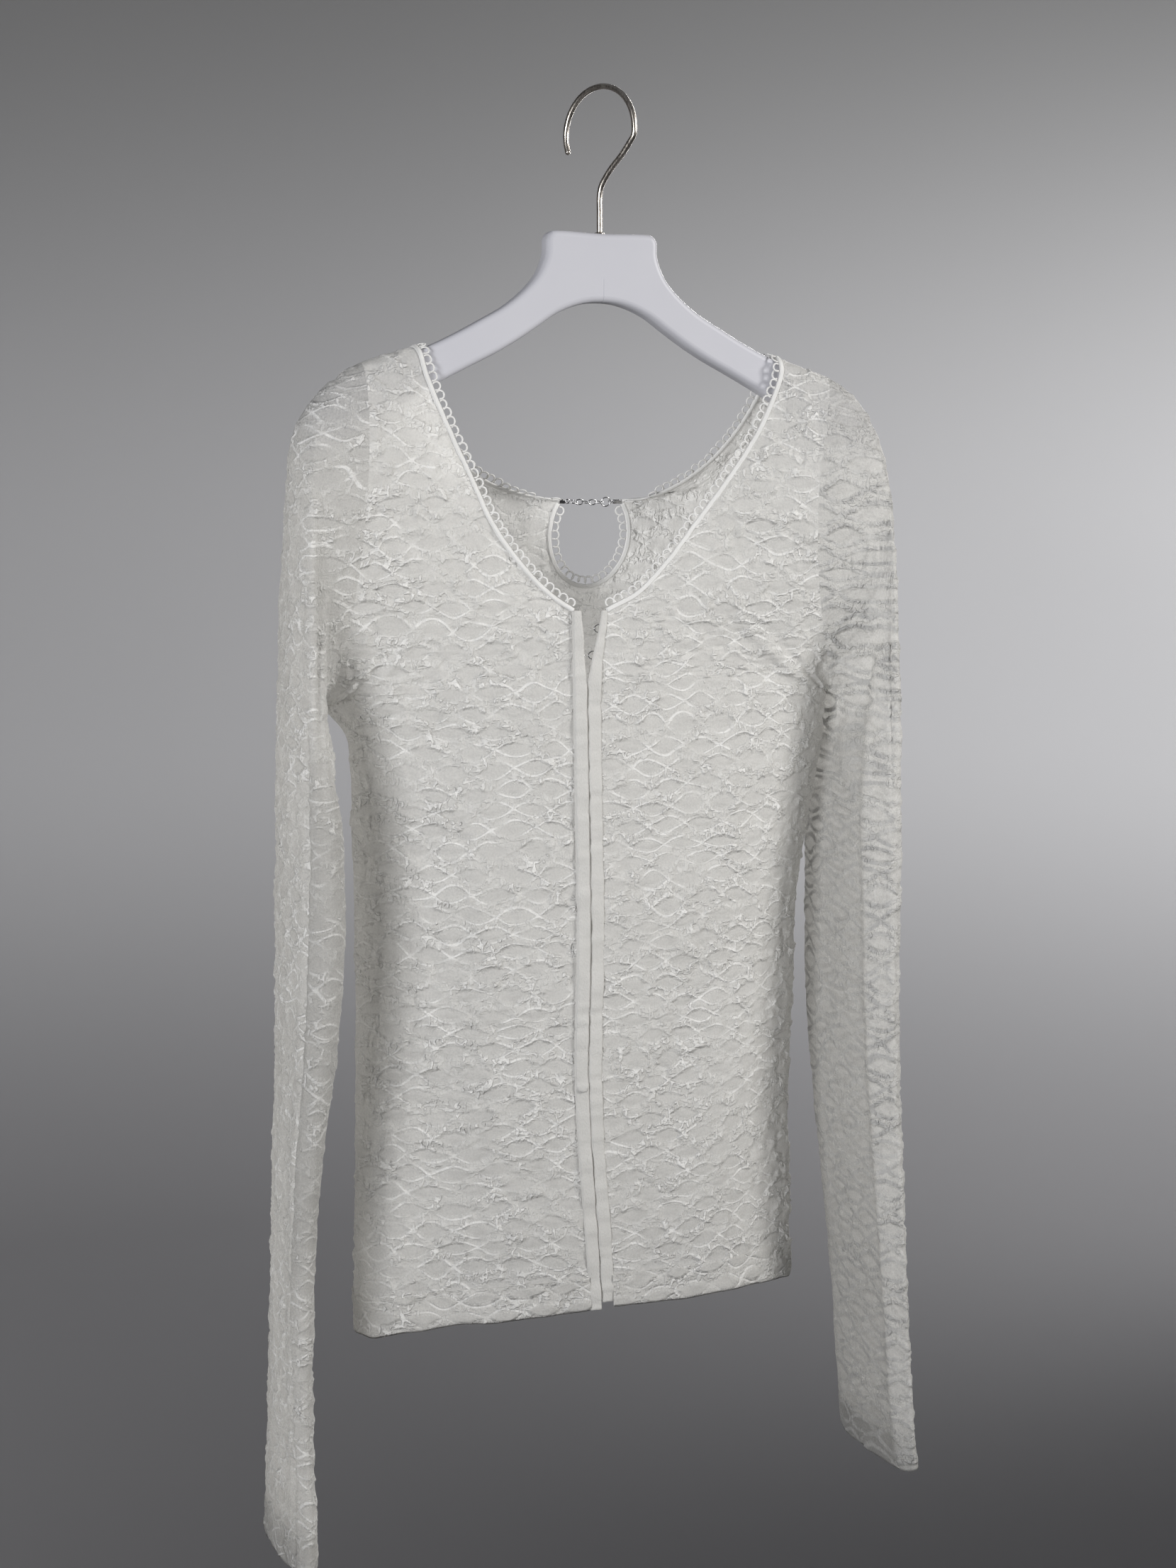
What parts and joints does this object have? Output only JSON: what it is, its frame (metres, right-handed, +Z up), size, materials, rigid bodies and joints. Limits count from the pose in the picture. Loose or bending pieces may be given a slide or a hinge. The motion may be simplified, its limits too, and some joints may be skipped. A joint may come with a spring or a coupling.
{
  "type": "lace top on a clothes hanger",
  "caption": "Long-sleeved white lace top with a V neck, hook-and-eye front, looped edging and an open back neck bridged by a fine chain, hanging on a flat white hanger.",
  "frame": {"origin": "inside top of the hanger's hook, where the hook rests on what holds it", "axes": "+Z up, the front of the top faces -Y, the wearer's right side is at -X"},
  "size_m": [0.4287, 0.1224, 0.8715],
  "materials": {
    "lace": "warm white stretch lace, crinkled, partly see-through",
    "band": "smooth warm white knit band",
    "edging": "looped white elastic edging",
    "label": "plain white satin tab",
    "hanger": "wood painted satin cool white",
    "hook_wire": "satin nickel plated steel wire",
    "chain": "polished silver-coloured chain",
    "closure_wire": "silver-coloured wire"
  },
  "bodies": {
    "root": {"back": "lace", "front_right": "lace", "front_left": "lace", "sleeve_right": "lace", "sleeve_left": "lace", "placket_right": "band", "placket_left": "band", "neck_trim_right": "edging", "neck_trim_left": "edging", "keyhole_trim": "edging", "care_label": "label", "hanger": "hanger", "hanger_hook": "hook_wire", "chain_clamp_right": "chain", "chain_clamp_left": "chain", "chain_ring_right": "chain", "chain_ring_left": "chain", "chain_link_1": "chain", "chain_link_2": "chain", "chain_link_3": "chain", "chain_link_4": "chain", "hook_upper": "closure_wire", "hook_lower": "closure_wire", "eye_upper": "closure_wire", "eye_lower": "closure_wire"}
  },
  "joints": []
}
